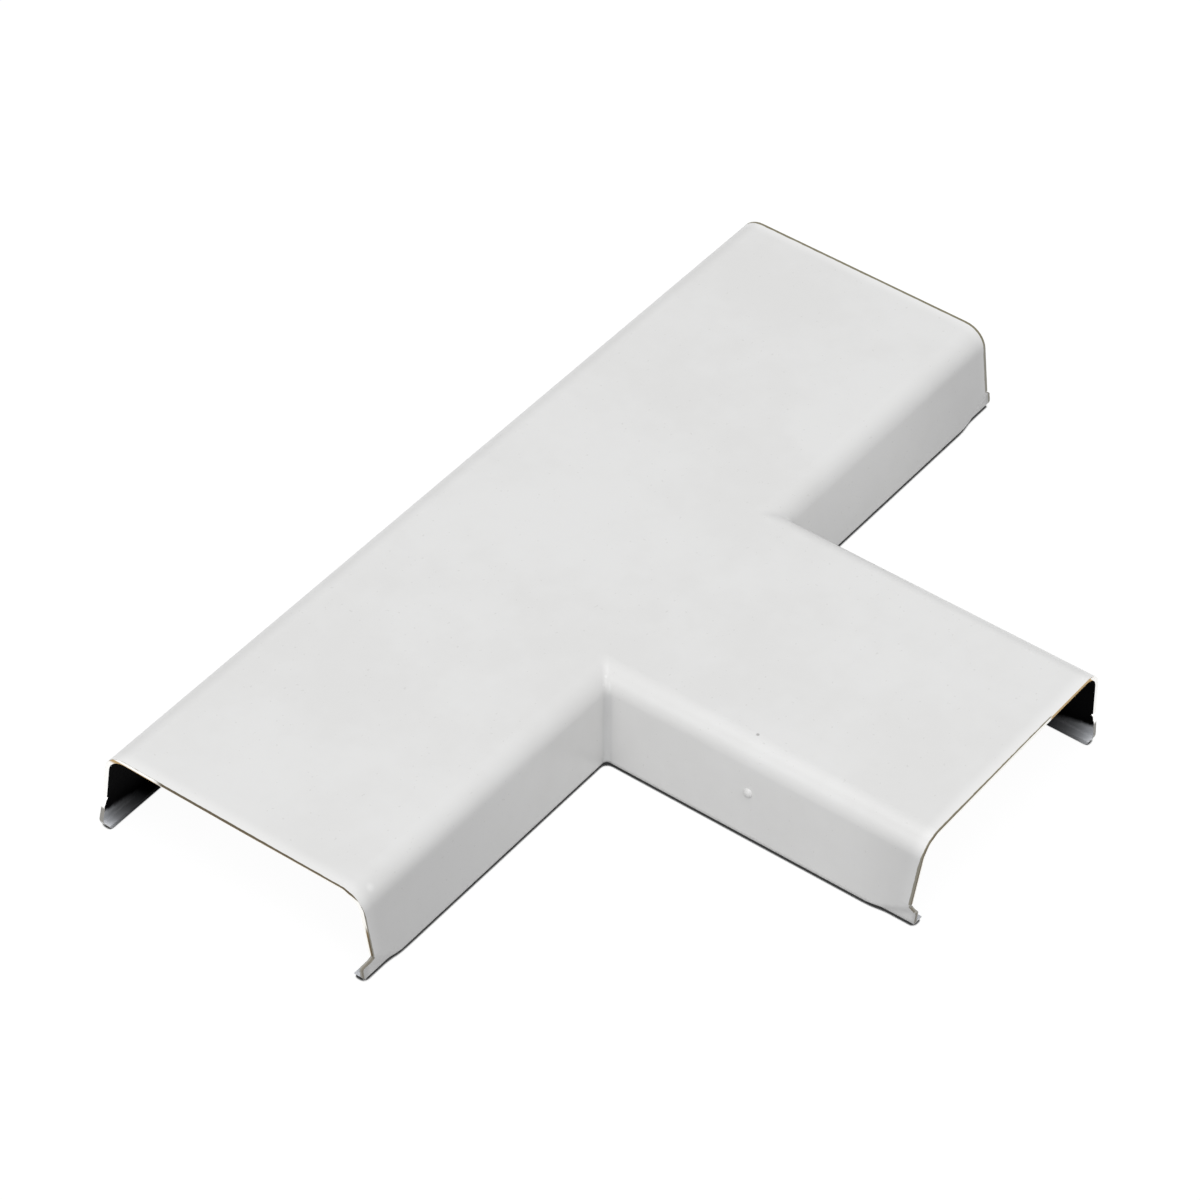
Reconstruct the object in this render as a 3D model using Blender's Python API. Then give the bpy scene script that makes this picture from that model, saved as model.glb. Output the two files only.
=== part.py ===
"""Tee cover of flat surface trunking: one pressed sheet with three open ends.

Metres, +Z up. The run lies along X, the branch leaves it towards -Y, and the
lips' undersides are at Z = 0. The origin is under the middle of the box.
"""

import math
from functools import partial

import bmesh
import bpy
from mathutils import Matrix, Vector

# Plan of the tee
RUN_WIDTH = 0.057
RUN_LENGTH = 0.180
BRANCH_WIDTH = 0.057
BRANCH_REACH = 0.0607
BRANCH_OFFSET = 0.0017
CORNER_RADIUS = 0.0010

# Section of every wall
HEIGHT = 0.0175
SHEET = 0.0008
WALL_LEAN = math.radians(8.7)
TOP_EDGE_RADIUS = 0.0045
LIP_WIDTH = 0.0028
LIP_BEND_INSIDE = 0.0004

# Open ends: how far each cut leans, so that the foot of the walls stands back under the top
LEFT_END_LEAN = math.radians(4.2)
RIGHT_END_LEAN = math.radians(0.0)
BRANCH_END_LEAN = math.radians(1.8)

# Ears: the foot of each wall runs on past the cut, and is pushed in along an oblique crease.
# The far ears are those of the back wall and of the branch's right wall.
LEFT_EAR_REACH = 0.0022
LEFT_FAR_EAR_REACH = 0.0008
RIGHT_EAR_REACH = 0.0014
BRANCH_EAR_REACH = 0.0010
BRANCH_FAR_EAR_REACH = 0.0005
NEAR_NOTCH_HEIGHT = 0.0041
FAR_NOTCH_HEIGHT = 0.0058
NOTCH_RADIUS = 0.0003
EAR_DROP = 0.0010
EAR_TIP_RADIUS = 0.0004
EAR_FOOT_RADIUS = 0.0008
WORN_EAR_FOOT_RADIUS = 0.0017
EAR_TUCK = 0.0005
CREASE_LENGTH = 0.0100
CREASE_BLEND = 0.0014

# Small raised pip on the branch's left wall
PIP_DIAMETER = 0.0018
PIP_RISE = 0.0005
PIP_FROM_RUN = 0.0274
PIP_HEIGHT = 0.0091

# Fineness of the mesh
BEND_STEPS = 5
EAR_LEVELS = 8
TOP_EDGE_STEPS = 9
CREASE_STEPS = 12
CORNER_STEPS = 8
ROUND_STEPS = 5
TOP_BORDER = 0.0008
SPARE = 0.002

# Derived positions
LIP_BEND = LIP_BEND_INSIDE + SHEET
EARS_TOP = max(NEAR_NOTCH_HEIGHT, FAR_NOTCH_HEIGHT) + NOTCH_RADIUS * 2
CUT_HEIGHT = HEIGHT - NEAR_NOTCH_HEIGHT
LEFT_OVERHANG = LEFT_EAR_REACH - CUT_HEIGHT * math.tan(LEFT_END_LEAN)
RIGHT_OVERHANG = RIGHT_EAR_REACH - CUT_HEIGHT * math.tan(RIGHT_END_LEAN)
BRANCH_OVERHANG = BRANCH_EAR_REACH - CUT_HEIGHT * math.tan(BRANCH_END_LEAN)
MIDDLE_X = (LEFT_OVERHANG - RIGHT_OVERHANG) / 2
RUN_Y = (BRANCH_REACH + BRANCH_OVERHANG) / 2
LEFT_END = MIDDLE_X - RUN_LENGTH / 2
RIGHT_END = MIDDLE_X + RUN_LENGTH / 2
BRANCH_X = MIDDLE_X + BRANCH_OFFSET
BRANCH_END = RUN_Y - RUN_WIDTH / 2 - BRANCH_REACH
CLEAR_OF_ENDS = RUN_LENGTH


def section(depth):
    """(inset, height) of the sheet at this depth under its outer face, from the lip's edge to the flat top."""
    upper = math.pi - WALL_LEAN
    normal = Vector((math.cos(upper), math.sin(upper)))
    foot_centre = Vector((LIP_BEND, LIP_BEND))
    crown_height = HEIGHT - TOP_EDGE_RADIUS
    climb = crown_height - LIP_BEND
    slack = TOP_EDGE_RADIUS - LIP_BEND + climb * math.sin(WALL_LEAN)
    crown_centre = Vector((LIP_BEND + slack / math.cos(WALL_LEAN), crown_height))
    outer_foot = foot_centre + LIP_BEND * normal
    outer_head = crown_centre + TOP_EDGE_RADIUS * normal
    ears_share = (EARS_TOP - outer_foot.y) / (outer_head.y - outer_foot.y)
    foot = outer_foot - depth * normal
    head = outer_head - depth * normal
    points = [Vector((LIP_WIDTH, depth))]
    for step in range(BEND_STEPS + 1):
        angle = math.pi * 1.5 - math.pi / 2 * step / BEND_STEPS
        points.append(foot_centre + (LIP_BEND - depth) * Vector((math.cos(angle), math.sin(angle))))
    for level in range(EAR_LEVELS):
        points.append(foot.lerp(head, ears_share * level / (EAR_LEVELS - 1)))
    for step in range(TOP_EDGE_STEPS + 1):
        angle = upper + (math.pi / 2 - upper) * step / TOP_EDGE_STEPS
        reach = TOP_EDGE_RADIUS - depth
        points.append(crown_centre + reach * Vector((math.cos(angle), math.sin(angle))))
    points.append(points[-1] + Vector((TOP_BORDER, 0.0)))
    return points


OUTER = section(0.0)


def smooth_step(value):
    held = min(max(value, 0.0), 1.0)
    return held * held * (3.0 - 2.0 * held)


def tuck(run_in, height, notch):
    """How far the wall is pushed in, below the crease that runs from its notch down to the foot."""
    crease = notch * (1.0 - run_in / CREASE_LENGTH)
    return EAR_TUCK * smooth_step((crease - height) / CREASE_BLEND)


def inset_of(levels, level, run_in, notch):
    """Inset of one level of a section, at this distance in from the open end."""
    pushed = tuck(run_in, OUTER[level].y, notch)
    if level > 0:
        return levels[level].x + pushed
    return max(LIP_WIDTH, LIP_BEND + pushed + SHEET / 8)


def end_stations(reach):
    """Distances in from an open end, over the ear and the crease. None is where a cutter's face lies."""
    beyond = [-reach - SPARE, -reach - SPARE / 4, -reach / 3]
    return beyond + [CREASE_LENGTH * (step + 0.4) / CREASE_STEPS for step in range(CREASE_STEPS + 1)]


def back_point(depth, levels, station, level):
    end, run_in = station
    x = LEFT_END + run_in if end == "left" else RIGHT_END - run_in
    inset = inset_of(levels, level, run_in, FAR_NOTCH_HEIGHT)
    return x, RUN_Y + RUN_WIDTH / 2 - inset, levels[level].y


def side_point(side, depth, levels, station, level):
    """A point of the left (-1) or right (+1) front wall, which turns from the run into the branch."""
    leg, place = station
    height = levels[level].y
    notch = FAR_NOTCH_HEIGHT if leg == "branch" and side > 0 else NEAR_NOTCH_HEIGHT
    inset = inset_of(levels, level, CLEAR_OF_ENDS if leg == "corner" else place, notch)
    run_y = RUN_Y - RUN_WIDTH / 2 + inset
    branch_x = BRANCH_X + side * (BRANCH_WIDTH / 2 - inset)
    if leg == "run":
        end = LEFT_END if side < 0 else RIGHT_END
        return end - side * place, run_y, height
    if leg == "branch":
        return branch_x, BRANCH_END + place, height
    radius = CORNER_RADIUS + depth
    x = branch_x + side * radius * (1.0 - math.sin(place))
    return x, run_y - radius * (1.0 - math.cos(place)), height


def add_wall(mesh, stations, depth, point_at):
    """Lays a grid over one wall. It returns the grid's top row, in the order of the stations."""
    levels = section(depth)
    across, up = len(stations) - 1, len(levels) - 1
    made = bmesh.ops.create_grid(mesh, x_segments=across, y_segments=up, size=1.0)
    top_row = [None] * len(stations)
    for vertex in made["verts"]:
        column = round((vertex.co.x + 1.0) / 2.0 * across)
        level = round((vertex.co.y + 1.0) / 2.0 * up)
        vertex.co = point_at(depth, levels, stations[column], level)
        if level == up:
            top_row[column] = vertex
    return top_row


def add_skin(mesh, depth):
    """One face of the sheet over the whole cover: three walls and the flat top between them."""
    left_end = [("left", run_in) for run_in in end_stations(LEFT_EAR_REACH)]
    right_end = [("right", run_in) for run_in in end_stations(RIGHT_EAR_REACH)]
    back_row = add_wall(mesh, left_end + right_end[::-1], depth, back_point)
    front_rows = []
    for side, reach in ((-1, LEFT_EAR_REACH), (1, RIGHT_EAR_REACH)):
        stations = [("run", run_in) for run_in in end_stations(reach)]
        for step in range(CORNER_STEPS + 1):
            stations.append(("corner", math.pi / 2 * step / CORNER_STEPS))
        stations += [("branch", run_in) for run_in in end_stations(BRANCH_EAR_REACH)[::-1]]
        front_rows.append(add_wall(mesh, stations, depth, partial(side_point, side)))
    mesh.faces.new(front_rows[0] + front_rows[1][::-1] + back_row[::-1])


def sheet():
    """The closed sheet: its outer and inner faces, joined along every edge of the skin."""
    mesh = bmesh.new()
    add_skin(mesh, 0.0)
    count = len(mesh.verts)
    add_skin(mesh, SHEET)
    mesh.verts.ensure_lookup_table()
    mesh.verts.index_update()
    rim = [edge.verts[:] for edge in mesh.edges if edge.is_boundary and edge.verts[0].index < count]
    for first, second in rim:
        under = [mesh.verts[second.index + count], mesh.verts[first.index + count]]
        mesh.faces.new([first, second] + under)
    bmesh.ops.recalc_face_normals(mesh, faces=mesh.faces)
    return mesh


def arc(centre, radius, start, end):
    """Points round a centre, with both angles in degrees."""
    points = []
    for step in range(ROUND_STEPS + 1):
        angle = math.radians(start + (end - start) * step / ROUND_STEPS)
        points.append((centre[0] + radius * math.cos(angle), centre[1] + radius * math.sin(angle)))
    return points


def end_waste(lean, reach, notch, foot_radius):
    """Side view of what is cut off at one ear: (distance out of the top's end, height)."""
    tip = min(EAR_TIP_RADIUS, reach / 2)
    foot_radius = min(foot_radius, (notch - EAR_DROP) / 2)
    cut = -(HEIGHT - notch) * math.tan(lean)
    outer, ear_top = cut + reach, notch - EAR_DROP
    outline = [(SPARE * math.tan(lean), HEIGHT + SPARE)]
    outline += arc((cut, notch), NOTCH_RADIUS, 90, 270)
    outline += arc((outer - tip, ear_top - tip), tip, 90, 0)
    outline += arc((outer - foot_radius, foot_radius), foot_radius, 0, -60)
    outline.append((outer - foot_radius / 2, -SPARE))
    outline.append((outer + CREASE_LENGTH, -SPARE))
    outline.append((outer + CREASE_LENGTH, HEIGHT + SPARE))
    return outline


def object_from(name, mesh):
    data = bpy.data.meshes.new(name)
    mesh.to_mesh(data)
    mesh.free()
    made = bpy.data.objects.new(name, data)
    bpy.context.scene.collection.objects.link(made)
    return made


def end_cutter(name, origin, outward, across, near_waste, far_waste):
    """A bar across an open end. Its outline differs from one wall's ear to the other's."""
    mesh = bmesh.new()
    half = RUN_WIDTH + BRANCH_WIDTH
    rows = []
    for place in (-half, -SPARE, SPARE, half):
        outline = near_waste if place < 0 else far_waste
        base = Vector(origin) + place * Vector(across)
        rows.append([mesh.verts.new(base + out * Vector(outward) + Vector((0, 0, up))) for out, up in outline])
    count = len(rows[0])
    for first, second in zip(rows, rows[1:]):
        for index in range(count):
            after = (index + 1) % count
            mesh.faces.new((first[index], first[after], second[after], second[index]))
    mesh.faces.new(rows[0])
    mesh.faces.new(rows[-1])
    bmesh.ops.recalc_face_normals(mesh, faces=mesh.faces)
    return object_from(name, mesh)


def pip():
    """A flattened ball, sunk a little more than half way into the branch's left wall."""
    mesh = bmesh.new()
    bmesh.ops.create_uvsphere(mesh, u_segments=20, v_segments=12, radius=PIP_DIAMETER / 2)
    sunk = PIP_RISE / 5
    foot, head = OUTER[BEND_STEPS + 2], OUTER[BEND_STEPS + EAR_LEVELS + 1]
    inset = foot.lerp(head, (PIP_HEIGHT - foot.y) / (head.y - foot.y)).x + sunk
    flatten = Matrix.Diagonal((1.0, 1.0, (PIP_RISE + sunk) / (PIP_DIAMETER / 2), 1.0))
    turn = Matrix.Rotation(WALL_LEAN - math.pi / 2, 4, "Y")
    across = BRANCH_X - BRANCH_WIDTH / 2 + inset
    move = Matrix.Translation((across, RUN_Y - RUN_WIDTH / 2 - PIP_FROM_RUN, PIP_HEIGHT))
    bmesh.ops.transform(mesh, matrix=move @ turn @ flatten, verts=mesh.verts)
    return object_from("pip", mesh)


def add_boolean(target, operation, other):
    modifier = target.modifiers.new(other.name, "BOOLEAN")
    modifier.operation = operation
    modifier.solver = "EXACT"
    modifier.object = other
    other.display_type = "WIRE"
    other.hide_render = True


def close_slivers(data):
    """Fills any thin triangle that the booleans left open along a cut."""
    mesh = bmesh.new()
    mesh.from_mesh(data)
    bmesh.ops.holes_fill(mesh, edges=mesh.edges[:], sides=4)
    bmesh.ops.recalc_face_normals(mesh, faces=mesh.faces[:])
    mesh.to_mesh(data)
    mesh.free()


def paint():
    material = bpy.data.materials.new("cover_paint")
    material.use_nodes = True
    shader = material.node_tree.nodes["Principled BSDF"]
    shader.inputs["Base Color"].default_value = (0.78, 0.78, 0.77, 1.0)
    shader.inputs["Roughness"].default_value = 0.4
    return material


def build():
    for old in list(bpy.data.objects):
        bpy.data.objects.remove(old)

    skin = object_from("skin", sheet())

    left_near = end_waste(LEFT_END_LEAN, LEFT_EAR_REACH, NEAR_NOTCH_HEIGHT, WORN_EAR_FOOT_RADIUS)
    left_far = end_waste(LEFT_END_LEAN, LEFT_FAR_EAR_REACH, FAR_NOTCH_HEIGHT, EAR_FOOT_RADIUS)
    right_near = end_waste(RIGHT_END_LEAN, RIGHT_EAR_REACH, NEAR_NOTCH_HEIGHT, EAR_FOOT_RADIUS)
    right_far = end_waste(RIGHT_END_LEAN, RIGHT_EAR_REACH, FAR_NOTCH_HEIGHT, EAR_FOOT_RADIUS)
    branch_near = end_waste(BRANCH_END_LEAN, BRANCH_EAR_REACH, NEAR_NOTCH_HEIGHT, EAR_FOOT_RADIUS)
    branch_far = end_waste(BRANCH_END_LEAN, BRANCH_FAR_EAR_REACH, FAR_NOTCH_HEIGHT, EAR_FOOT_RADIUS)
    left_origin, right_origin = (LEFT_END, RUN_Y, 0), (RIGHT_END, RUN_Y, 0)
    branch_origin = (BRANCH_X, BRANCH_END, 0)
    left = end_cutter("left_waste", left_origin, (-1, 0, 0), (0, 1, 0), left_near, left_far)
    right = end_cutter("right_waste", right_origin, (1, 0, 0), (0, 1, 0), right_near, right_far)
    branch = end_cutter("branch_waste", branch_origin, (0, -1, 0), (1, 0, 0), branch_near, branch_far)
    helpers = [left, right, branch, pip()]
    for cutter in helpers[:3]:
        add_boolean(skin, "DIFFERENCE", cutter)
    add_boolean(skin, "UNION", helpers[3])

    # The finished cover is the evaluated mesh, with its cut edges marked sharp
    bpy.context.view_layer.update()
    finished = skin.evaluated_get(bpy.context.evaluated_depsgraph_get())
    data = bpy.data.meshes.new_from_object(finished)
    close_slivers(data)
    for helper in [skin] + helpers:
        bpy.data.objects.remove(helper)
    data.name = "tee_cover"
    data.shade_smooth()
    data.set_sharp_from_angle(angle=math.radians(32.0))
    data.materials.clear()
    data.materials.append(paint())
    cover = bpy.data.objects.new("tee_cover", data)
    bpy.context.scene.collection.objects.link(cover)


build()
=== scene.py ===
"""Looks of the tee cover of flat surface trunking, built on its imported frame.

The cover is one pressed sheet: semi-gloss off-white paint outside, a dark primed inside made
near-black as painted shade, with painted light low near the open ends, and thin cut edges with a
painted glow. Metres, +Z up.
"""

import math

import bmesh
import bpy
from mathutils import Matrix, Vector
from mathutils.bvhtree import BVHTree


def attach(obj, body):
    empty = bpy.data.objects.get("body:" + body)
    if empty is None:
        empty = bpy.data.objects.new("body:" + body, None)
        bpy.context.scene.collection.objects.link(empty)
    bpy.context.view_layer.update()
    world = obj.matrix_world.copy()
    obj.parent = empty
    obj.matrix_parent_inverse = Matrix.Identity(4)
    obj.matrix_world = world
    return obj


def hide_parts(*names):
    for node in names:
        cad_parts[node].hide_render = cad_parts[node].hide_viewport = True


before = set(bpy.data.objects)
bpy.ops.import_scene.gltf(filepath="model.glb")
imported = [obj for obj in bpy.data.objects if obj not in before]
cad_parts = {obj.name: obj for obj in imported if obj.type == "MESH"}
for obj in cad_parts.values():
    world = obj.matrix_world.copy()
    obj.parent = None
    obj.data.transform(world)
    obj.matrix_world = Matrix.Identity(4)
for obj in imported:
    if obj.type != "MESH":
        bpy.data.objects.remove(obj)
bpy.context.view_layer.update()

# Places on the cover, taken or worked out from the sizes in the part's source
RUN_CENTRE = Vector((-0.0001, 0.0306, 0.0))
HALF_RUN = 0.090
BRANCH_X = 0.0016
BRANCH_END = -0.0586
HEIGHT = 0.0175
SHEET = 0.0008
EAR_TOP = 0.0042
CORNER_ACROSS = 0.0285
CORNER_Y = 0.00214

# How far a surface stands back for each metre of height
WALL_SLOPE = 0.1530
LEFT_END_SLOPE = 0.0734
BRANCH_END_SLOPE = 0.0314

# Where the cut edge starts to stand before the dark inside, as the photo's camera sees it, with a
# painted highlight
FAR_BRIGHT_X = 0.0124
FAR_BRIGHT_Y = 0.0450
FAR_RIGHT = (FAR_BRIGHT_X, FAR_BRIGHT_X + 0.001)
FAR_LEFT = (FAR_BRIGHT_Y, FAR_BRIGHT_Y + 0.002)

# Small marks on the paint: place, radius and width of the soft edge
DARK_SPECKS = (
    ((0.0515, 0.0029, 0.0030), 0.00016, 0.00022),
    ((0.0555, 0.0029, 0.0032), 0.00013, 0.00020),
    ((-0.0208, -0.0232, HEIGHT), 0.00016, 0.00022),
)
# Painted highlights: small white glints on the near left bend and at the first inner corner
LEFT_GLINT = ((-0.0865, 0.0052, 0.0166), 0.00020, 0.00090)
CORNER_GLINTS = (
    ((-0.0239, 0.0052, 0.0159), 0.00022, 0.00030),
    ((-0.0252, 0.0050, 0.0152), 0.00020, 0.00030),
)

# Ranges of height over which a finish comes or goes
FOOT_GREY_BAND = (0.0002, 0.0016)
ABOVE_EAR = (EAR_TOP, EAR_TOP + 0.0004)
EAR_EDGE = (EAR_TOP - 0.0002, EAR_TOP + 0.0004)
WALL_TOP = (0.0120, 0.0160)
RIM_TOP = (0.0155, 0.0163)
CORNER_BEND = (HEIGHT - 0.0050, HEIGHT - 0.0020)
WALL_BEND = (HEIGHT - 0.0045, HEIGHT - 0.0015)

# The same for X to the left or right, and for Y towards the back or down the branch
RIGHT_END = (0.050, 0.051)
# Painted shade on the near walls' outer ends reaches over the next two ranges, and down the branch
# over the last one
SHADED_LEFT = (0.0290, 0.0800)
SHADED_RIGHT = (0.0550, 0.0850)
NEAR_WALL = (0.0050, 0.0080)
BRANCH_TIP = (0.0500, 0.0550)
SHADED_BRANCH = (0.0430, 0.0600)

# The same for the way out past an open end, or past its straight cut
PALE_BAND = (-0.0028, -0.0003)
BROWN_LINE_BAND = (0.0, 0.00008)
EAR_BAND = (-0.0004, 0.0006)
EAR_RIM = (0.00075, 0.00095)
FAR_BRANCH_BAND = (-0.004, -0.003)

# The same for the distance from an inner corner
WIDE_SHADE = (0.0006, 0.0038)
NARROW_SHADE = (0.0003, 0.0020)

# Painted light on the inside near the open ends: the height and rise of its upper border, the border's
# width, its fade
END_LIGHT_TOP = 0.0037
END_LIGHT_RISE = 0.32
END_LIGHT_BORDER = (-0.0007, 0.0006)
END_LIGHT_FADE = 0.0032

# Brown lines beside the cuts: on the top, and what walls, branch and right end add
BROWN_LINE_TOP = 0.00010
BROWN_LINE_WALL = 0.00024
BROWN_LINE_BRANCH = 0.00018
BROWN_LINE_RIGHT = 0.00042

# Colours of the paint and of what wears or lies on it
PAINT_SHADE = (0.770, 0.768, 0.762)
PAINT_LIGHT = (0.800, 0.800, 0.796)
FOOT_GREY = (0.52, 0.50, 0.47)
SPECK_BROWN = (0.18, 0.17, 0.16)
DUST_GREY = (0.50, 0.49, 0.47)
# The next colour is painted shade down the inner corners
CORNER_SHADE_GREY = (0.33, 0.34, 0.35)
# The next colour is a painted highlight for the small glints
GLINT_WHITE = (0.960, 0.960, 0.955)
PALE_WHITE = (0.940, 0.940, 0.935)
# The next colour is painted shade on the ears
EAR_SHADE_GREY = (0.30, 0.30, 0.29)
LINE_BROWN = (0.150, 0.125, 0.045)
# The next colour is painted shade on the near walls' outer ends
WALL_SHADE_GREY = (0.40, 0.40, 0.41)

# Colours of the inside and of the cut edge, with painted shade, painted highlights and a painted glow
# The inside is near-black: painted shade on a dark primer
INSIDE_DARK = (0.0003, 0.0003, 0.0004)
INSIDE_LIGHT = (0.0011, 0.0011, 0.0012)
# The next colour is painted light from the open ends
END_LIGHT_PALE = (0.83, 0.85, 0.89)
EDGE_BROWN = (0.120, 0.085, 0.036)
EDGE_TAN = (0.300, 0.200, 0.080)
EDGE_CREAM = (0.900, 0.880, 0.820)
EDGE_PALE = (0.940, 0.930, 0.900)
# The next colour is a painted highlight on the cut edge beside the far corners
EDGE_HIGHLIGHT_WHITE = (0.960, 0.955, 0.940)
EDGE_GOLD = (0.620, 0.410, 0.170)
# The next colour is painted shade on the ears' cut edges
EDGE_EAR_SHADE = (0.250, 0.235, 0.200)
# The next two colours are painted light: the cut edge's glow
PAINTED_GLOW_WHITE = (0.960, 0.950, 0.920)
PAINTED_GLOW_GOLD = (0.220, 0.145, 0.055)
BLACK = (0.0, 0.0, 0.0)

# Depths of the relief
PEEL_DEPTH = 0.0000016
WAVE_DEPTH = 0.0000110
DUST_DEPTH = 0.0000030
INSIDE_GRAIN_DEPTH = 0.0000120
EDGE_GRAIN_DEPTH = 0.0000150

# Sorting, merging and easing the faces
CHANNEL_MIDDLE = 0.3
MERGE_DISTANCE = 0.000002
FLAT_ANGLE = math.radians(0.05)
RAY_START = 0.00001
THICK = SHEET * 1.6
CUT_FACING = 0.7
CUT_REACH = 0.004
SMOOTH_ANGLE = math.radians(32.0)
EASED_ANGLE = math.radians(50.0)
EASED_WIDTH = 0.00009

# The floor: its half size and height, and how far its painted contact shadow reaches
FLOOR_HALF_SIZE = 4.0
FLOOR_Z = -0.00005
CONTACT_SHADOW_REACH = 0.0010

WHITE = (1.0, 1.0, 1.0, 1.0)
DECAY_BASE = 2.718
NOISE_MIDDLE = 0.5

# The camera's sensor in millimetres, and the photo in pixels
SENSOR_WIDTH = 36.0
PHOTO_WIDTH = 1200.0


# Shader graphs


class Value:
    """A socket's value. Sums and products of values add the Math nodes that work them out."""

    def __init__(self, finish, socket):
        self.finish = finish
        self.socket = socket

    def _math(self, operation, first, second=0.0, clamp=False):
        settings = {"operation": operation, "use_clamp": clamp}
        return self.finish.add("Math", settings, {0: first, 1: second})

    def __add__(self, other):
        return self._math("ADD", self, other)

    def __radd__(self, other):
        return self._math("ADD", other, self)

    def __sub__(self, other):
        return self._math("SUBTRACT", self, other)

    def __rsub__(self, other):
        return self._math("SUBTRACT", other, self)

    def __neg__(self):
        return self._math("SUBTRACT", 0.0, self)

    def __mul__(self, other):
        return self._math("MULTIPLY", self, other)

    def __truediv__(self, other):
        return self._math("DIVIDE", self, other)

    def __rpow__(self, other):
        return self._math("POWER", other, self)

    def __abs__(self):
        return self._math("ABSOLUTE", self)

    def least(self, other):
        return self._math("MINIMUM", self, other)

    def most(self, other):
        return self._math("MAXIMUM", self, other)

    def held(self):
        """The value, kept from 0 to 1."""
        return self._math("ADD", self, 0.0, clamp=True)

    def swing(self, amount):
        """A noise's value turned into a swing to both sides of 0."""
        return (self - NOISE_MIDDLE) * amount


class Finish:
    """One material and its nodes."""

    def __init__(self, name):
        self.material = bpy.data.materials.new(name)
        self.material.use_nodes = True
        self.tree = self.material.node_tree
        self.tree.nodes.clear()
        self.place = None

    def add(self, kind, settings=None, sockets=None, output=0):
        """Adds a node: its settings first, then the values or links of its sockets."""
        node = self.tree.nodes.new("ShaderNode" + kind)
        for name, setting in (settings or {}).items():
            if name == "stops":
                ramp = node.color_ramp
                while len(ramp.elements) < len(setting):
                    ramp.elements.new(0.5)
                for element, (position, colour) in zip(ramp.elements, setting):
                    element.position = position
                    element.color = (*colour, 1.0)
            else:
                setattr(node, name, setting)
        for name, value in (sockets or {}).items():
            if isinstance(value, Value):
                self.tree.links.new(value.socket, node.inputs[name])
            else:
                node.inputs[name].default_value = value
        return Value(self, node.outputs[output]) if node.outputs else None

    def position(self):
        """The point's place on the object, in metres. Its node is added once."""
        if self.place is None:
            self.place = self.add("TexCoord", output="Object")
        return self.place

    def axis(self, name):
        """One coordinate of the point's place."""
        return self.add("SeparateXYZ", sockets={"Vector": self.position()}, output=name)

    def noise(self, scale, detail=2.0, roughness=0.5, offset=(0.0, 0.0, 0.0), stretch=(1.0, 1.0, 1.0)):
        moved = self.add(
            "Mapping", sockets={"Vector": self.position(), "Location": offset, "Scale": stretch}
        )
        sockets = {"Vector": moved, "Scale": scale, "Detail": detail, "Roughness": roughness}
        return self.add("TexNoise", sockets=sockets)

    def between(self, value, low, high):
        """0 below low, 1 above high and a smooth change in between."""
        settings = {"interpolation_type": "SMOOTHSTEP"}
        sockets = {"Value": value, "From Min": low, "From Max": high}
        return self.add("MapRange", settings, sockets)

    def spot(self, centre, radius, soft):
        """1 within a radius of a point, and 0 past its soft edge."""
        away = self.add(
            "VectorMath", {"operation": "DISTANCE"}, {0: self.position(), 1: centre}, output="Value"
        )
        return 1.0 - self.between(away, radius, radius + soft)

    def blend(self, factor, first, second):
        """Mixes two colours. A Mix node has its colour sockets at the places 6, 7 and 2."""
        node = self.tree.nodes.new("ShaderNodeMix")
        node.data_type = "RGBA"
        for index, value in ((0, factor), (6, first), (7, second)):
            if isinstance(value, Value):
                self.tree.links.new(value.socket, node.inputs[index])
            else:
                node.inputs[index].default_value = value if index == 0 else (*value, 1.0)
        return Value(self, node.outputs[2])

    def bump(self, height, distance, normal=None):
        sockets = {"Height": height, "Distance": distance}
        if normal is not None:
            sockets["Normal"] = normal
        return self.add("Bump", sockets=sockets)

    def out_of_end(self):
        """How far a point lies out past the nearest open end. It is below 0 on the cover."""
        run = abs(self.axis("X") - RUN_CENTRE.x) - HALF_RUN
        branch = BRANCH_END - self.axis("Y")
        return run.most(branch)

    def past_cut(self):
        """The same, measured from the straight cut, which stands back towards the foot of two ends."""
        down = HEIGHT - self.axis("Z")
        across = self.axis("X") - RUN_CENTRE.x
        left = down * LEFT_END_SLOPE - across - HALF_RUN
        branch = down * BRANCH_END_SLOPE + BRANCH_END - self.axis("Y")
        return left.most(across - HALF_RUN).most(branch)

    def finish(self, shader):
        """Ends the graph with a shader, and gives the material."""
        self.add("OutputMaterial", sockets={"Surface": shader})
        return self.material


# Paint


def clouded(paint):
    """Off-white with soft clouding."""
    cloud = paint.noise(38.0, detail=3.0)
    fine_cloud = paint.noise(260.0, detail=2.0, offset=(0.3, 0.1, 0.2))
    tone = paint.between(cloud * 0.75 + fine_cloud * 0.25, 0.36, 0.64)
    return paint.blend(tone, PAINT_SHADE, PAINT_LIGHT)


def inner_corner_shade(paint, colour):
    """A soft darker line down the two inner corners: painted shade."""
    height = paint.axis("Z")
    leaned = height * WALL_SLOPE
    beside = abs(abs(paint.axis("X") - BRANCH_X) + leaned - CORNER_ACROSS)
    before = abs(paint.axis("Y") - leaned - CORNER_Y)
    below_bend = 1.0 - paint.between(height, *CORNER_BEND)
    wide = 1.0 - paint.between(beside + before, *WIDE_SHADE)
    narrow = 1.0 - paint.between(beside + before, *NARROW_SHADE)
    corner = (wide * 0.08 + narrow * 0.38) * below_bend
    return paint.blend(corner, colour, CORNER_SHADE_GREY)


def painted_glints(paint, colour):
    """Painted highlights: small white glints on the near left bend and at the first inner corner."""
    glints = paint.spot(*LEFT_GLINT) * 0.55
    for glint in CORNER_GLINTS:
        glints = glints.most(paint.spot(*glint))
    return paint.blend(glints, colour, GLINT_WHITE)


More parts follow.
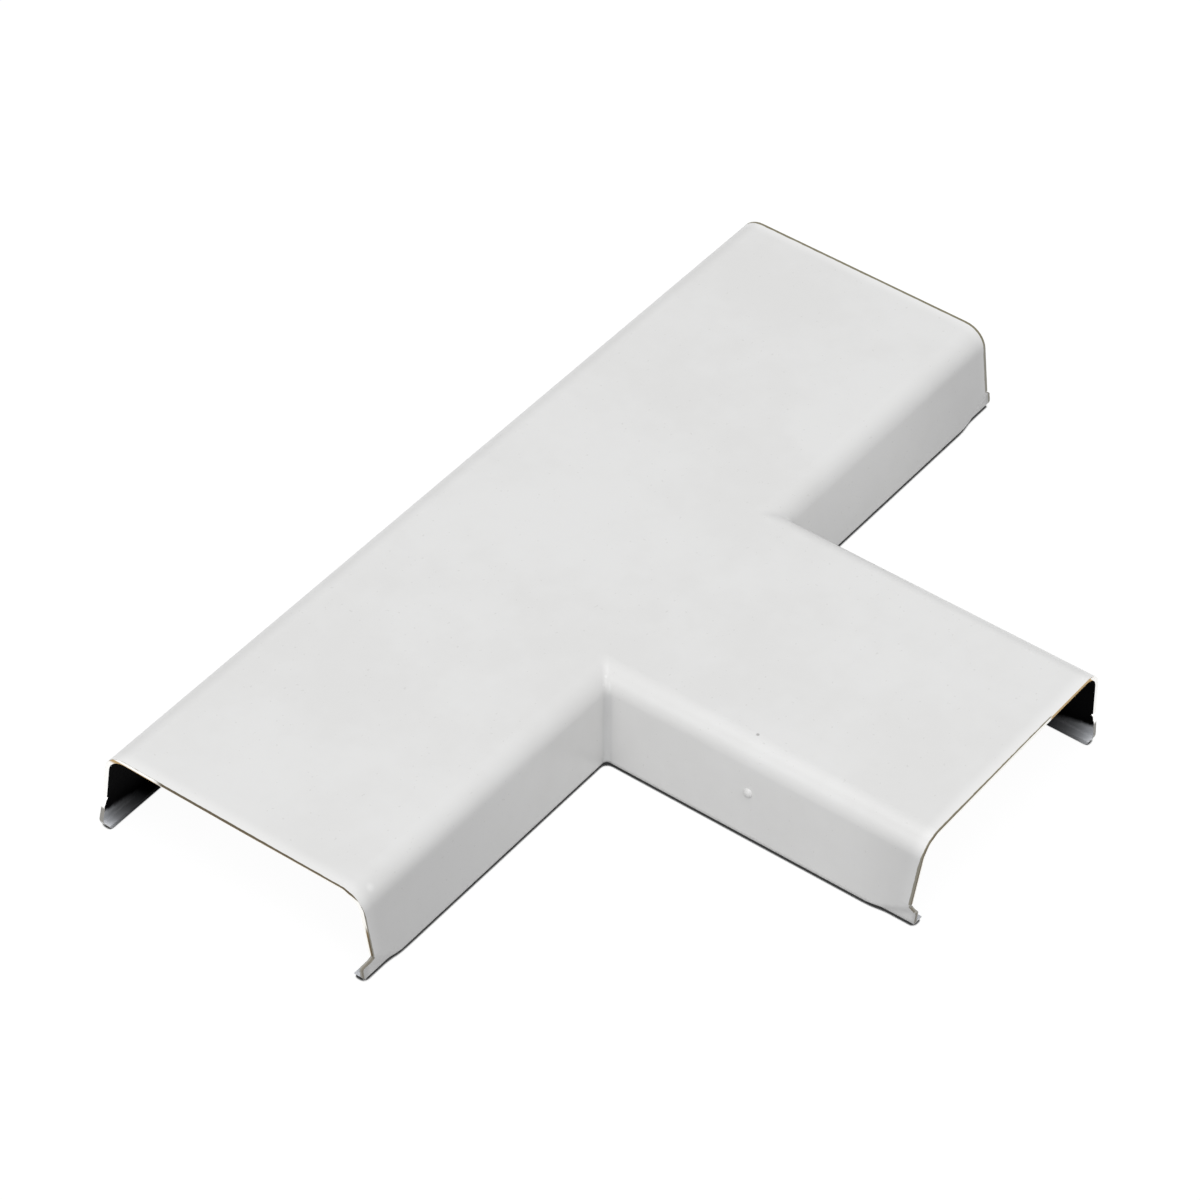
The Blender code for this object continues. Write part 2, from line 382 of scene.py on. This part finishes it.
def end_bands_and_ear_shade(paint, colour, patch_noise):
    """Open ends: a paler band and a brown line along the cut, and ears darkened as painted shade."""
    cut = paint.past_cut() + patch_noise.swing(0.00020)
    above_ear = paint.between(paint.axis("Z"), *ABOVE_EAR)
    pale = paint.between(cut, *PALE_BAND) * above_ear
    colour = paint.blend(pale * 0.50, colour, PALE_WHITE)

    wall = 1.0 - paint.between(paint.axis("Z"), *WALL_TOP)
    right = paint.between(paint.axis("X"), *RIGHT_END)
    branch = paint.between(-paint.axis("Y"), *BRANCH_TIP)
    line = BROWN_LINE_TOP + wall * BROWN_LINE_WALL + branch * BROWN_LINE_BRANCH + right * BROWN_LINE_RIGHT
    far_part = branch * paint.between(paint.axis("X"), *FAR_RIGHT)
    brown_line = paint.between(cut + line, *BROWN_LINE_BAND) * above_ear * (1.0 - far_part)

    # The ears are painted darker: painted shade on their tucked-in faces
    ear_shade = paint.between(paint.out_of_end(), *EAR_BAND) * (1.0 - above_ear)
    colour = paint.blend(ear_shade * 0.42, colour, EAR_SHADE_GREY)
    rim = paint.between(paint.out_of_end(), *EAR_RIM) * (1.0 - above_ear) * right
    return paint.blend(brown_line.most(rim) * 0.90, colour, LINE_BROWN)


def shaded_wall_ends(paint, colour):
    """The near walls are painted a little darker towards their outer ends: painted shade."""
    on_wall = 1.0 - paint.between(paint.axis("Z"), *WALL_BEND)
    near_run = 1.0 - paint.between(paint.axis("Y"), *NEAR_WALL)
    left_part = paint.between(-paint.axis("X"), *SHADED_LEFT)
    right_part = paint.between(paint.axis("X"), *SHADED_RIGHT)
    branch_part = paint.between(-paint.axis("Y"), *SHADED_BRANCH)
    wall_shade = (near_run * left_part.most(right_part)).most(branch_part) * on_wall
    return paint.blend(wall_shade * 0.28, colour, WALL_SHADE_GREY)


def cover_paint():
    """Off-white semi-gloss paint: a faint orange peel, soft clouding, small marks of handling, painted
    shade and painted highlights.
    """
    paint = Finish("cover_paint")
    patch_noise = paint.noise(900.0, detail=3.0)
    dust = paint.between(paint.noise(1500.0, detail=1.0, offset=(0.7, 0.2, 0.5)), 0.735, 0.765)

    # The foot is a little greyer, in patches
    at_foot = 1.0 - paint.between(paint.axis("Z"), *FOOT_GREY_BAND)
    foot = at_foot * paint.between(patch_noise, 0.40, 0.62)
    colour = paint.blend(foot * 0.35, clouded(paint), FOOT_GREY)

    specks = paint.spot(*DARK_SPECKS[0])
    for speck in DARK_SPECKS[1:]:
        specks = specks.most(paint.spot(*speck))
    colour = paint.blend(specks * 0.55, colour, SPECK_BROWN)
    colour = paint.blend(dust * 0.22, colour, DUST_GREY)
    colour = inner_corner_shade(paint, colour)
    colour = painted_glints(paint, colour)
    colour = end_bands_and_ear_shade(paint, colour, patch_noise)
    colour = shaded_wall_ends(paint, colour)

    gloss_cloud = paint.noise(120.0, detail=4.0, offset=(0.2, 0.8, 0.1))
    roughness = 0.27 + gloss_cloud * 0.08 + foot * 0.18 + dust * 0.10
    peel = paint.noise(1150.0, detail=2.0, roughness=0.45)
    waves = paint.noise(170.0, detail=1.0, offset=(0.5, 0.5, 0.5))
    relief = paint.bump(peel, PEEL_DEPTH)
    relief = paint.bump(waves, WAVE_DEPTH, normal=relief)
    relief = paint.bump(dust, DUST_DEPTH, normal=relief)
    shader = paint.add(
        "BsdfPrincipled",
        sockets={"Base Color": colour, "Roughness": roughness, "Normal": relief, "IOR": 1.5},
    )
    return paint.finish(shader)


# Inside and cut edges


def cover_inside():
    """Dark primed inside of the sheet, made near-black as painted shade, with painted light low on the
    walls near the open ends.
    """
    inside = Finish("cover_inside")
    height = inside.axis("Z")
    end = inside.out_of_end()
    grain = inside.noise(700.0, detail=4.0)
    streaks = inside.noise(90.0, detail=3.0, stretch=(1.0, 1.0, 6.0))
    dark = inside.blend(streaks, INSIDE_DARK, INSIDE_LIGHT)

    # The painted light from the open ends stops along the ears' creases, and fades within a few
    # millimetres of the ends
    border = END_LIGHT_TOP + end * END_LIGHT_RISE
    low = 1.0 - inside.between(height - border + grain.swing(0.0010), *END_LIGHT_BORDER)
    near = DECAY_BASE ** ((end + grain.swing(0.0008)).least(0.0) / END_LIGHT_FADE)
    end_light = (low * near).held()
    colour = inside.blend(end_light, dark, END_LIGHT_PALE)
    shader = inside.add(
        "BsdfPrincipled",
        sockets={
            "Base Color": colour,
            "Roughness": 0.62 + grain * 0.12 - end_light * 0.18,
            "Normal": inside.bump(grain, INSIDE_GRAIN_DEPTH),
            "Specular IOR Level": 0.012,
        },
    )
    return inside.finish(shader)


def cut_edge():
    """Cut edge of the sheet: brown along its outer corner, then bright cream, with a painted glow, a
    painted highlight beside the far corners and painted shade on the ears.
    """
    edge = Finish("cut_edge")
    depth = edge.add("Attribute", {"attribute_name": "sheet_depth"}, output="Fac")
    grain = edge.noise(2400.0, detail=3.0)
    along = edge.noise(60.0, detail=3.0, offset=(0.4, 0.4, 0.4))
    shade = (depth + grain.swing(0.10) + along.swing(0.08)).held()
    stops = [
        (0.00, EDGE_BROWN),
        (0.34, EDGE_BROWN),
        (0.50, EDGE_TAN),
        (0.62, EDGE_CREAM),
        (1.00, EDGE_PALE),
    ]
    colour = edge.add("ValToRGB", {"stops": stops}, {"Fac": shade})

    # Beside the far corners the edge stands before the dark inside: a painted highlight in white, with
    # a golden inner rim
    height = edge.axis("Z")
    far_left = edge.between(edge.axis("Y"), *FAR_LEFT)
    far_right = edge.between(edge.axis("X"), *FAR_RIGHT)
    far_branch = far_right * edge.between(BRANCH_END - edge.axis("Y"), *FAR_BRANCH_BAND)
    far_highlight = far_left.most(far_branch)
    inner = edge.between(shade - far_branch * 0.22, 0.50, 0.64) * edge.between(height, *RIM_TOP)
    pale = edge.blend(inner, EDGE_HIGHLIGHT_WHITE, EDGE_GOLD)
    colour = edge.blend(far_highlight, colour, pale)

    # The cut edge glows a little as painted light, on its cream part and beside the far corners
    glowing = far_highlight.most(edge.between(shade, 0.52, 0.66))
    painted_glow = edge.blend(glowing, BLACK, PAINTED_GLOW_WHITE)
    painted_glow = edge.blend(far_highlight * inner, painted_glow, PAINTED_GLOW_GOLD)

    # The ears' cut edges are painted darker, as painted shade, and don't glow
    ear_shade = 1.0 - edge.between(height, *EAR_EDGE)
    colour = edge.blend(ear_shade * 0.80, colour, EDGE_EAR_SHADE)
    painted_glow = edge.blend(ear_shade, painted_glow, BLACK)
    shader = edge.add(
        "BsdfPrincipled",
        sockets={
            "Base Color": colour,
            "Roughness": 0.45 + grain * 0.15,
            "Normal": edge.bump(grain, EDGE_GRAIN_DEPTH),
            "Emission Color": painted_glow,
            "Emission Strength": 0.40,
        },
    )
    return edge.finish(shader)


# The one piece


def inward(place):
    """From a point of the sheet to the nearest of the two channels' middle lines."""
    low = HEIGHT * CHANNEL_MIDDLE
    run = Vector((place.x, RUN_CENTRE.y, low))
    branch = Vector((BRANCH_X, min(place.y, RUN_CENTRE.y), low))
    return min((run - place, branch - place), key=lambda line: line.length)


def merged_sheet():
    """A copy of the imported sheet, its doubled points merged and its flat faces joined."""
    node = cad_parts["tee_cover"]
    mesh = bmesh.new()
    mesh.from_mesh(node.data)
    mesh.transform(node.matrix_world)
    bmesh.ops.remove_doubles(mesh, verts=mesh.verts, dist=MERGE_DISTANCE)
    bmesh.ops.dissolve_limit(
        mesh,
        angle_limit=FLAT_ANGLE,
        use_dissolve_boundaries=False,
        verts=mesh.verts,
        edges=mesh.edges,
    )
    return mesh


def side_of(face, tree):
    """Tells outside, inside and cut edge apart. Cut faces are near an end, with none close behind."""
    middle = face.calc_center_median()
    behind = tree.ray_cast(middle - face.normal * RAY_START, -face.normal)[3]
    facing = face.normal.dot(inward(middle).normalized())
    past_end = max(abs(middle.x - RUN_CENTRE.x) - HALF_RUN, BRANCH_END - middle.y)
    thick = behind is None or behind > THICK
    if thick and facing < CUT_FACING and past_end > -CUT_REACH:
        return "edge"
    return "inside" if facing > 0.0 else "outside"


def sort_faces(mesh):
    """Gives each face its material, and each point its depth in the sheet: 0 outside, 1 inside."""
    depth = mesh.verts.layers.float.new("sheet_depth")
    tree = BVHTree.FromBMesh(mesh)
    sides = {face: side_of(face, tree) for face in mesh.faces}
    slots = {"outside": 0, "inside": 1, "edge": 2}
    for face, side in sides.items():
        face.material_index = slots[side]
        face.smooth = True
    for vertex in mesh.verts:
        touched = {sides[face] for face in vertex.link_faces}
        vertex[depth] = 1.0 if "inside" in touched else 0.0


def ease_corners(sheet):
    """Softens the cut corners by a hair's width."""
    eased = sheet.modifiers.new("eased_corners", "BEVEL")
    eased.width = EASED_WIDTH
    eased.segments = 2
    eased.limit_method = "ANGLE"
    eased.angle_limit = EASED_ANGLE
    eased.use_clamp_overlap = True
    eased.harden_normals = True
    eased.miter_outer = "MITER_SHARP"
    even = sheet.modifiers.new("even_normals", "WEIGHTED_NORMAL")
    even.keep_sharp = True


def cover():
    """The sheet's shape as it was packed, with its faces sorted and its cut corners eased."""
    mesh = merged_sheet()
    sort_faces(mesh)
    data = bpy.data.meshes.new("tee_cover_sheet")
    mesh.to_mesh(data)
    mesh.free()
    data.set_sharp_from_angle(angle=SMOOTH_ANGLE)
    for finish in (cover_paint(), cover_inside(), cut_edge()):
        data.materials.append(finish)
    sheet = bpy.data.objects.new("tee_cover_sheet", data)
    bpy.context.scene.collection.objects.link(sheet)
    ease_corners(sheet)
    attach(sheet, "root")
    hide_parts("tee_cover")


cover()


# Floor and backdrop


def floor_finish():
    """White floor. The camera sees it nearly white, with the cover's soft shadow and a contact shadow
    painted from ambient occlusion.
    """
    floor = Finish("floor_white")
    matt = floor.add("BsdfDiffuse", sockets={"Color": (0.25, 0.25, 0.25, 1.0)})
    faint = floor.add("BsdfDiffuse", sockets={"Color": (0.08, 0.08, 0.08, 1.0)})
    open_sky = floor.add("AmbientOcclusion", {"samples": 16}, {"Distance": CONTACT_SHADOW_REACH}, output="AO")
    # A contact shadow painted into the floor's white from ambient occlusion
    stops = [(0.46, (0.01, 0.01, 0.01)), (0.59, (0.96, 0.96, 0.96))]
    contact_shadow = floor.add("ValToRGB", {"stops": stops}, {"Fac": open_sky})
    white = floor.add("Emission", sockets={"Color": contact_shadow, "Strength": 1.0})
    seen = floor.add("AddShader", sockets={0: faint, 1: white})
    path = floor.add("LightPath", output="Is Camera Ray")
    glossy = floor.add("LightPath", output="Is Glossy Ray")
    through = floor.add("LightPath", output="Is Transmission Ray")
    shader = floor.add("MixShader", sockets={0: path.most(glossy).most(through), 1: matt, 2: seen})
    return floor.finish(shader)


def lay_floor():
    """Lays the floor a hair below the foot of the cover."""
    mesh = bmesh.new()
    bmesh.ops.create_grid(mesh, x_segments=1, y_segments=1, size=FLOOR_HALF_SIZE)
    bmesh.ops.translate(mesh, vec=(0.0, 0.0, FLOOR_Z), verts=mesh.verts)
    data = bpy.data.meshes.new("floor")
    mesh.to_mesh(data)
    mesh.free()
    data.materials.append(floor_finish())
    floor = bpy.data.objects.new("floor", data)
    bpy.context.scene.collection.objects.link(floor)


lay_floor()


# Light


def light_world(strength):
    """Even pale surroundings for the cover, and plain white for the camera."""
    world = bpy.data.worlds.new("studio")
    bpy.context.scene.world = world
    world.use_nodes = True
    nodes, links = world.node_tree.nodes, world.node_tree.links
    nodes.clear()
    path = nodes.new("ShaderNodeLightPath")
    direct = nodes.new("ShaderNodeMath")
    direct.operation = "MAXIMUM"
    links.new(path.outputs["Is Camera Ray"], direct.inputs[0])
    links.new(path.outputs["Is Transmission Ray"], direct.inputs[1])
    around = nodes.new("ShaderNodeBackground")
    around.inputs["Color"].default_value = WHITE
    around.inputs["Strength"].default_value = strength
    seen = nodes.new("ShaderNodeBackground")
    seen.inputs["Color"].default_value = WHITE
    seen.inputs["Strength"].default_value = 1.0
    mixed = nodes.new("ShaderNodeMixShader")
    out = nodes.new("ShaderNodeOutputWorld")
    links.new(direct.outputs[0], mixed.inputs[0])
    links.new(around.outputs[0], mixed.inputs[1])
    links.new(seen.outputs[0], mixed.inputs[2])
    links.new(mixed.outputs[0], out.inputs["Surface"])


def soft_lamp(name, place, size, power):
    """A rectangular lamp at a place, turned to the origin."""
    data = bpy.data.lights.new(name, "AREA")
    data.shape = "RECTANGLE"
    data.size, data.size_y = size
    data.energy = power
    lamp = bpy.data.objects.new(name, data)
    lamp.location = place
    lamp.rotation_euler = (-Vector(place)).to_track_quat("-Z", "Y").to_euler()
    bpy.context.scene.collection.objects.link(lamp)


light_world(0.60)
soft_lamp("top_softbox", (-0.40, 0.10, 3.00), (1.8, 1.8), 21.5)
soft_lamp("front_softbox", (-0.60, -2.00, 1.80), (1.0, 1.0), 10.0)
soft_lamp("left_softbox", (-2.40, -0.10, 0.90), (1.0, 1.0), 10.2)
soft_lamp("back_left_strip", (-1.75, 0.95, 1.50), (0.35, 0.9), 3.0)


# Camera


def set_camera(azimuth, elevation, roll, focal, distance, across, above):
    """Looks at the run's middle from an azimuth, then shifts its place in its own picture plane."""
    turn, climb, tilt = (math.radians(angle) for angle in (azimuth, elevation, roll))
    back = Vector(
        (math.sin(turn) * math.cos(climb), -math.cos(turn) * math.cos(climb), math.sin(climb))
    )
    level = (-back).cross(Vector((0.0, 0.0, 1.0))).normalized()
    upright = level.cross(-back)
    right = math.cos(tilt) * level + math.sin(tilt) * upright
    up = -math.sin(tilt) * level + math.cos(tilt) * upright
    data = bpy.data.cameras.new("camera")
    data.sensor_width = SENSOR_WIDTH
    data.lens = focal / PHOTO_WIDTH * SENSOR_WIDTH
    data.clip_start = 0.05
    data.clip_end = 50.0
    camera = bpy.data.objects.new("camera", data)
    turned = camera.matrix_world.copy()
    for row in range(3):
        turned[row][0], turned[row][1], turned[row][2] = right[row], up[row], back[row]
    turned.translation = RUN_CENTRE + right * across + up * above + back * distance
    camera.matrix_world = turned
    bpy.context.scene.collection.objects.link(camera)
    bpy.context.scene.camera = camera


set_camera(
    azimuth=-55.9682,
    elevation=42.4066,
    roll=3.2234,
    focal=5126.0,
    distance=0.88194,
    across=0.0061598,
    above=0.0011423,
)
bpy.context.scene.view_settings.view_transform = "Standard"

# Last update of the view layer

bpy.context.view_layer.update()
